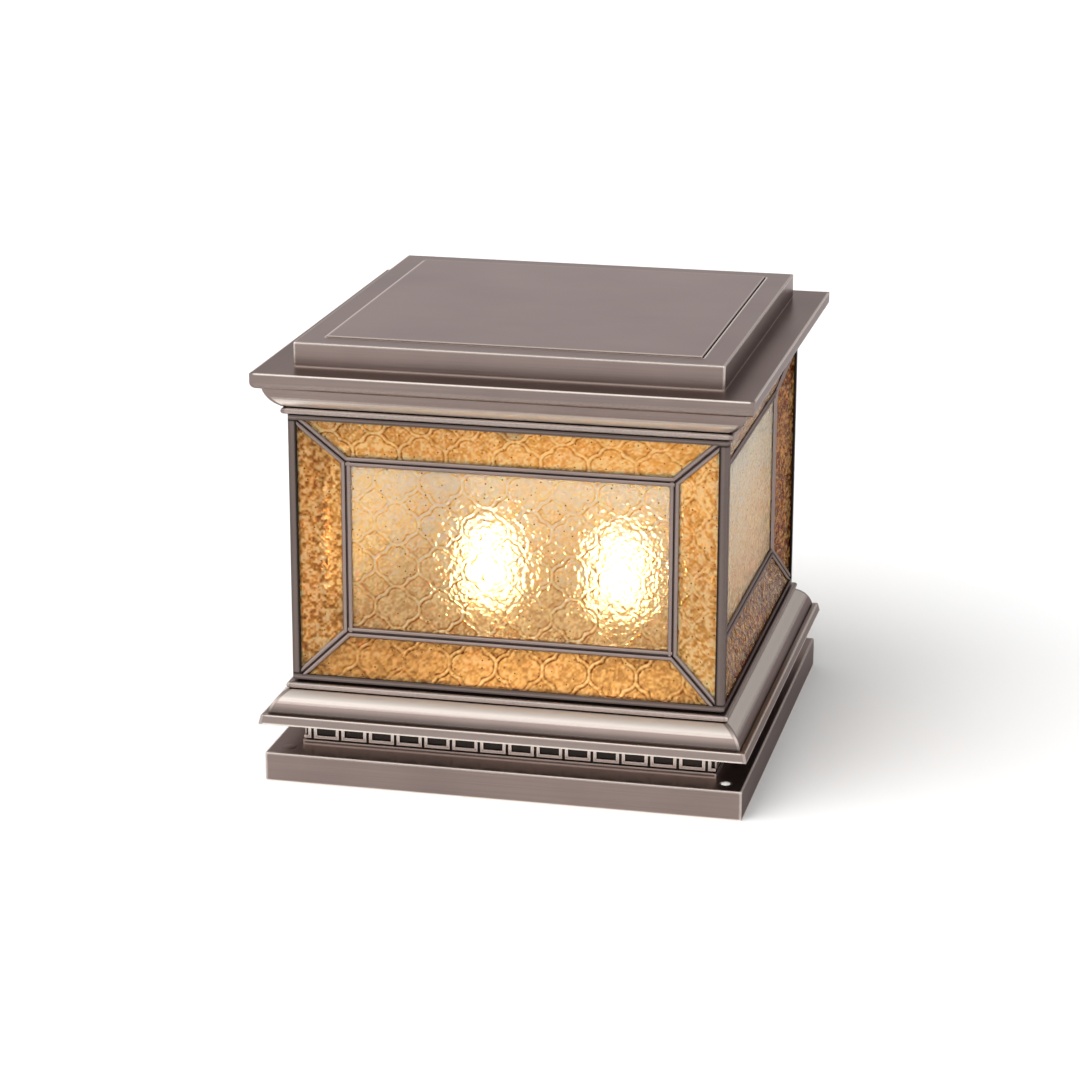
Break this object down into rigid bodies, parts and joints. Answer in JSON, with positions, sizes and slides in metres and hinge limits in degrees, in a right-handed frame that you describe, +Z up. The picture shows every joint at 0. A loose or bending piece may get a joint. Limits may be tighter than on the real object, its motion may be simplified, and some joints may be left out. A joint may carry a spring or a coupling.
{
  "type": "solar pillar light",
  "caption": "Square solar lantern for a gate pillar: embossed amber glass panes in cames, between a moulded bronze plinth and a cornice cap that carries the panel.",
  "frame": {"origin": "centre of the base's underside, on the pillar's top", "axes": "+Z up through the lantern, -Y out of its front face, +X to its right"},
  "size_m": [0.3066, 0.3066, 0.2783],
  "materials": {
    "bronze_aluminium": "brushed, antique bronze lacquer",
    "zinc_steel": "zinc plated",
    "cream_glass": "rolled, embossed trellis",
    "amber_glass": "rolled, embossed trellis",
    "panel_cover": "satin, bronze tinted",
    "solar_cells": "laminated cells",
    "black_rubber": "extruded",
    "lampholder_ceramic": "glazed",
    "brass": "drawn",
    "lamp_cap_metal": "rolled thread",
    "lamp_white": "moulded",
    "lamp_opal": "opal",
    "black_plastic": "moulded",
    "cell_wrap": "shrink sleeve",
    "circuit_board": "solder mask",
    "red_plastic": "moulded"
  },
  "bodies": {
    "lantern": {"base_tray": "bronze_aluminium", "bolt_sleeves": "zinc_steel", "pedestal": "bronze_aluminium", "floor_plate": "zinc_steel", "bottom_ring": "bronze_aluminium", "top_ring": "bronze_aluminium", "lantern_screws": "zinc_steel", "lampholder_left": "lampholder_ceramic", "lampholder_right": "lampholder_ceramic", "holder_contact_left": "brass", "holder_contact_right": "brass", "fret_front": "bronze_aluminium", "fret_right": "bronze_aluminium", "fret_back": "bronze_aluminium", "fret_left": "bronze_aluminium", "plinth_front": "bronze_aluminium", "plinth_right": "bronze_aluminium", "plinth_back": "bronze_aluminium", "plinth_left": "bronze_aluminium", "cames_front": "bronze_aluminium", "cames_right": "bronze_aluminium", "cames_back": "bronze_aluminium", "cames_left": "bronze_aluminium", "centre_pane_front": "cream_glass", "centre_pane_right": "cream_glass", "centre_pane_back": "cream_glass", "centre_pane_left": "cream_glass", "border_panes_front": "amber_glass", "border_panes_right": "amber_glass", "border_panes_back": "amber_glass", "border_panes_left": "amber_glass", "post_front_left": "bronze_aluminium", "post_front_right": "bronze_aluminium", "post_back_right": "bronze_aluminium", "post_back_left": "bronze_aluminium"},
    "cap": {"cap_gasket": "black_rubber", "solar_housing": "bronze_aluminium", "panel_seal": "black_rubber", "solar_panel": "panel_cover", "solar_cells": "solar_cells", "ceiling_pan": "zinc_steel", "cap_clips": "zinc_steel", "battery_box": "black_plastic", "battery_cells": "cell_wrap", "battery_hatch": "black_plastic", "control_board": "circuit_board", "switch_body": "black_plastic", "cable_gland": "black_plastic", "cap_screws": "zinc_steel", "cornice_front": "bronze_aluminium", "cornice_right": "bronze_aluminium", "cornice_back": "bronze_aluminium", "cornice_left": "bronze_aluminium"},
    "power_button": {"power_button": "red_plastic"},
    "bulb_left_cap": {"bulb_left_cap": "lamp_cap_metal"},
    "bulb_left": {"bulb_left_body": "lamp_white", "bulb_left_globe": "lamp_opal"},
    "bulb_right_cap": {"bulb_right_cap": "lamp_cap_metal"},
    "bulb_right": {"bulb_right_body": "lamp_white", "bulb_right_globe": "lamp_opal"}
  },
  "joints": [
    {"name": "cap_lift", "type": "slide", "parent": "lantern", "child": "cap", "axis": [0, 0, 1], "range_m": [0, 0.12]},
    {"name": "power_button_press", "type": "slide", "parent": "cap", "child": "power_button", "axis": [0, 0, 1], "range_m": [0, 0.0015], "stiffness_N_per_m": 800, "springref_m": -0.001},
    {"name": "bulb_left_rise", "type": "slide", "parent": "lantern", "child": "bulb_left_cap", "axis": [0, 0, 1], "range_m": [0, 0.02551]},
    {"name": "bulb_left_turn", "type": "hinge", "parent": "bulb_left_cap", "child": "bulb_left", "pos_m": [-0.0435, 0, 0.057], "axis": [0, 0, 1], "range_deg": [0, 2520]},
    {"name": "bulb_right_rise", "type": "slide", "parent": "lantern", "child": "bulb_right_cap", "axis": [0, 0, 1], "range_m": [0, 0.02551]},
    {"name": "bulb_right_turn", "type": "hinge", "parent": "bulb_right_cap", "child": "bulb_right", "pos_m": [0.0435, 0, 0.057], "axis": [0, 0, 1], "range_deg": [0, 2520]}
  ],
  "couplings": [
    {"joint": "bulb_left_rise", "follows": "bulb_left_turn", "m_per_rad": 0.00057773},
    {"joint": "bulb_right_rise", "follows": "bulb_right_turn", "m_per_rad": 0.00057773}
  ]
}
